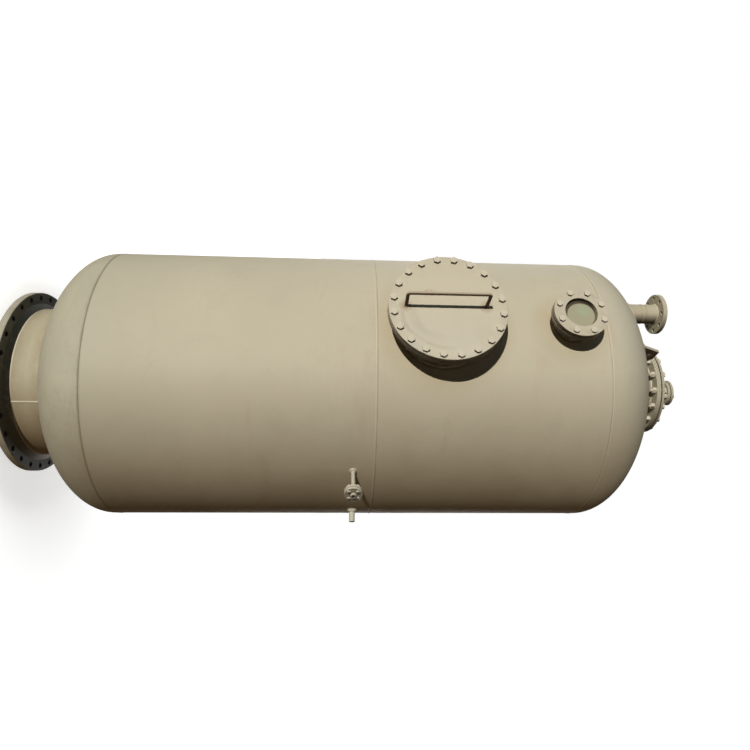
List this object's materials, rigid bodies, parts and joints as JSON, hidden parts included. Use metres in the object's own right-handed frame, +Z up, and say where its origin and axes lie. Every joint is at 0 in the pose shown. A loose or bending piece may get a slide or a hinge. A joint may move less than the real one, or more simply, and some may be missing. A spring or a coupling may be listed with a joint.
{
  "type": "deaerating column",
  "caption": "Upright deaerating column: welded shell with dished heads on a large base flange, bolted manhole, blanked side nozzle, open steam nozzle, top cover with vent, lugs.",
  "frame": {"origin": "centre of the base flange's lower face, at floor level", "axes": "+Z up the vessel axis, -Y towards the manhole, +X to the right seen from the manhole side"},
  "size_m": [1.688, 1.909, 4.094],
  "materials": {
    "shell_paint": "satin",
    "flange_paint": "satin",
    "cover_paint": "satin",
    "blank_plate": "satin",
    "handle_bar": "matte",
    "fitting_paint": "satin",
    "gasket": "matte"
  },
  "bodies": {
    "root": {"lower_course": "shell_paint", "upper_course": "shell_paint", "bottom_head": "shell_paint", "top_head": "shell_paint", "base_barrel": "shell_paint", "manhole_neck": "shell_paint", "side_neck": "shell_paint", "steam_pipe": "shell_paint", "top_neck": "shell_paint", "vent_pipe": "shell_paint", "lifting_lugs": "shell_paint", "base_flange": "flange_paint", "manhole_flange": "flange_paint", "side_flange": "flange_paint", "side_ring": "flange_paint", "steam_flange": "flange_paint", "top_flange": "flange_paint", "vent_flange": "flange_paint", "vent_blank": "flange_paint", "manhole_cover": "cover_paint", "top_cover": "cover_paint", "side_blank": "blank_plate", "manhole_handle": "handle_bar", "gauge_boss": "fitting_paint", "gauge_neck": "fitting_paint", "gauge_flange": "fitting_paint", "gauge_ring": "fitting_paint", "drain_boss": "fitting_paint", "drain_pipe": "fitting_paint", "manhole_gasket": "gasket", "side_inner_gasket": "gasket", "side_outer_gasket": "gasket", "top_gasket": "gasket", "vent_gasket": "gasket", "gauge_gasket": "gasket"}
  },
  "joints": []
}
